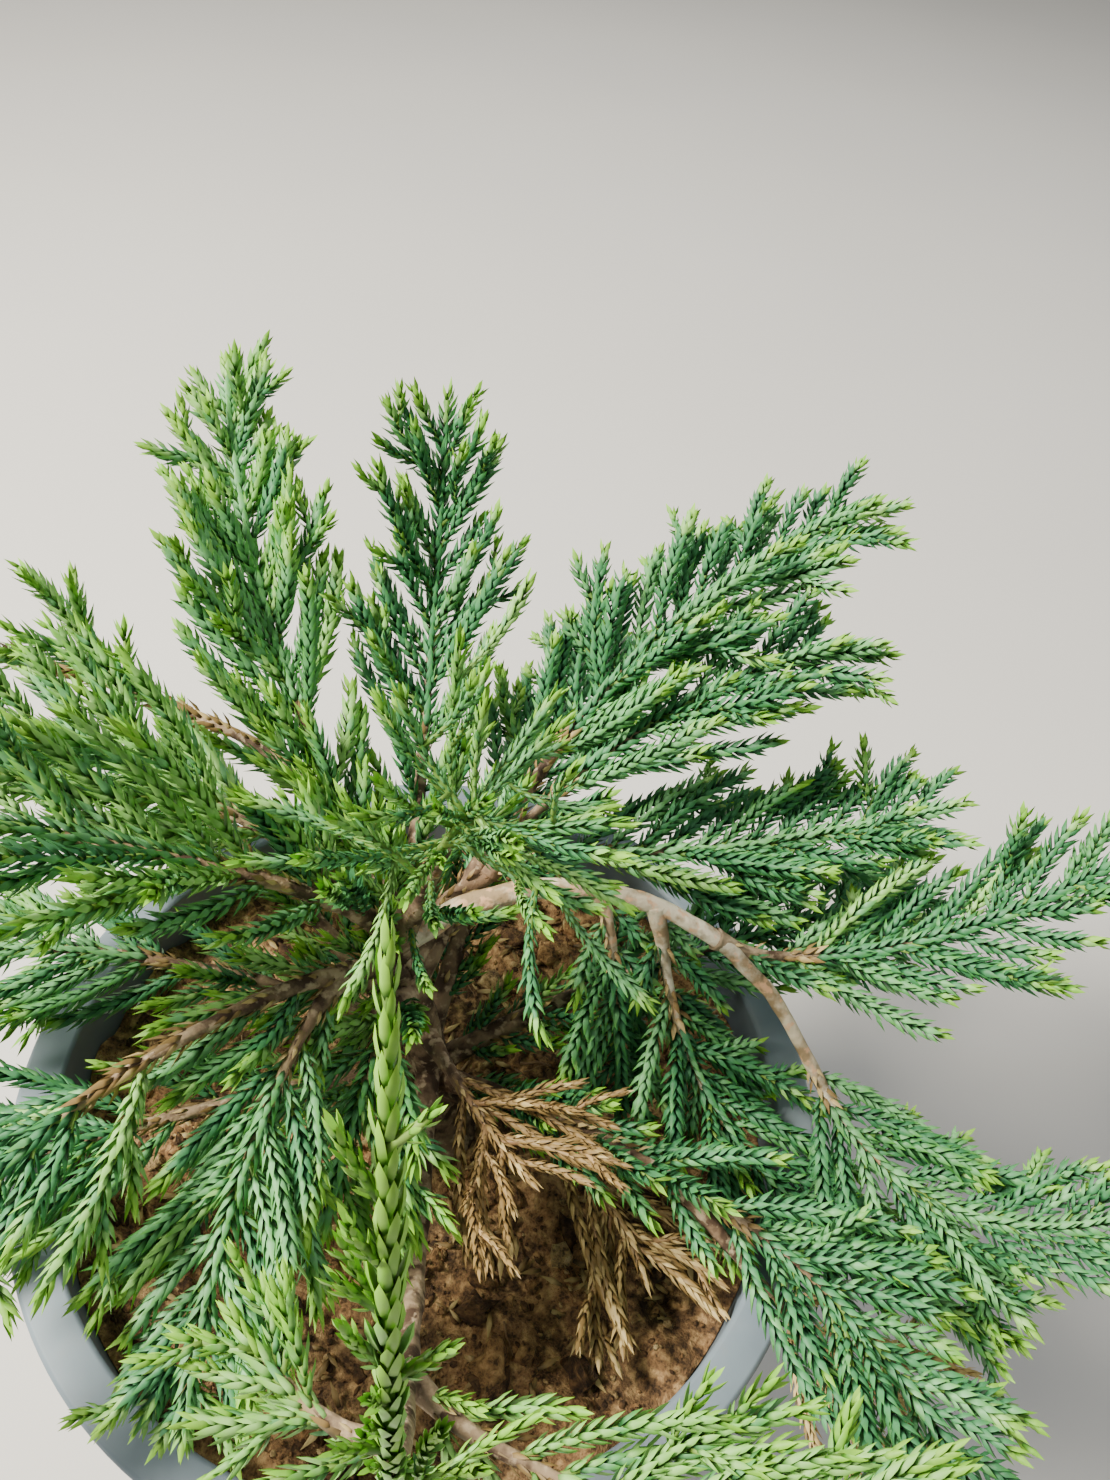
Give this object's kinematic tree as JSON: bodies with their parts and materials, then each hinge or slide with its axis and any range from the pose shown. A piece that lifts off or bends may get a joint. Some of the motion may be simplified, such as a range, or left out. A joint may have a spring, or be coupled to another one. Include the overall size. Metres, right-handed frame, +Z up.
{
  "type": "potted spreading conifer",
  "caption": "Low spreading conifer with awl-shaped blue-green needles on flat feathery sprays, growing in a round plastic nursery pot of brown soil.",
  "frame": {"origin": "centre of the pot's flat underside, level with the ground it stands on", "axes": "+Z up along the pot's axis, -Y towards the viewer, +X to the viewer's right"},
  "size_m": [0.3637, 0.3047, 0.4069],
  "materials": {
    "pot_plastic": "dark grey moulded plastic, bleached pale on the rim",
    "soil": "lumpy reddish-brown potting soil",
    "bark": "thin flaking tan-brown bark",
    "green_needles": "blue-green needles with a pale bloom inside and yellow-green shoot tips",
    "dry_needles": "dead straw-brown needles"
  },
  "bodies": {
    "root": {"bough_back": "bark", "bough_back_left": "bark", "bough_back_left_low": "bark", "bough_back_low": "bark", "bough_back_right": "bark", "bough_back_right_low": "bark", "bough_dry_centre": "bark", "bough_dry_inner": "bark", "bough_dry_right": "bark", "bough_front": "bark", "bough_front_inner": "bark", "bough_front_left": "bark", "bough_front_left_low": "bark", "bough_front_right_low": "bark", "bough_front_side_left": "bark", "bough_front_side_right": "bark", "bough_left": "bark", "bough_left_back": "bark", "bough_left_front": "bark", "bough_left_high": "bark", "bough_left_low": "bark", "bough_right": "bark", "bough_right_back": "bark", "bough_right_back_high": "bark", "bough_right_front": "bark", "bough_right_hanging": "bark", "bough_right_low": "bark", "bough_top": "bark", "foliage_back": "green_needles", "foliage_back_left": "green_needles", "foliage_back_left_low": "green_needles", "foliage_back_low": "green_needles", "foliage_back_right": "green_needles", "foliage_back_right_low": "green_needles", "foliage_dry_centre": "dry_needles", "foliage_dry_inner": "dry_needles", "foliage_dry_right": "dry_needles", "foliage_front": "green_needles", "foliage_front_inner": "green_needles", "foliage_front_left": "green_needles", "foliage_front_left_low": "green_needles", "foliage_front_right_low": "green_needles", "foliage_front_side_left": "green_needles", "foliage_front_side_right": "green_needles", "foliage_left": "green_needles", "foliage_left_back": "green_needles", "foliage_left_front": "green_needles", "foliage_left_high": "green_needles", "foliage_left_low": "green_needles", "foliage_right": "green_needles", "foliage_right_back": "green_needles", "foliage_right_back_high": "green_needles", "foliage_right_front": "green_needles", "foliage_right_hanging": "green_needles", "foliage_right_low": "green_needles", "foliage_top": "green_needles", "pot": "pot_plastic", "soil": "soil", "trunk": "bark"}
  },
  "joints": []
}
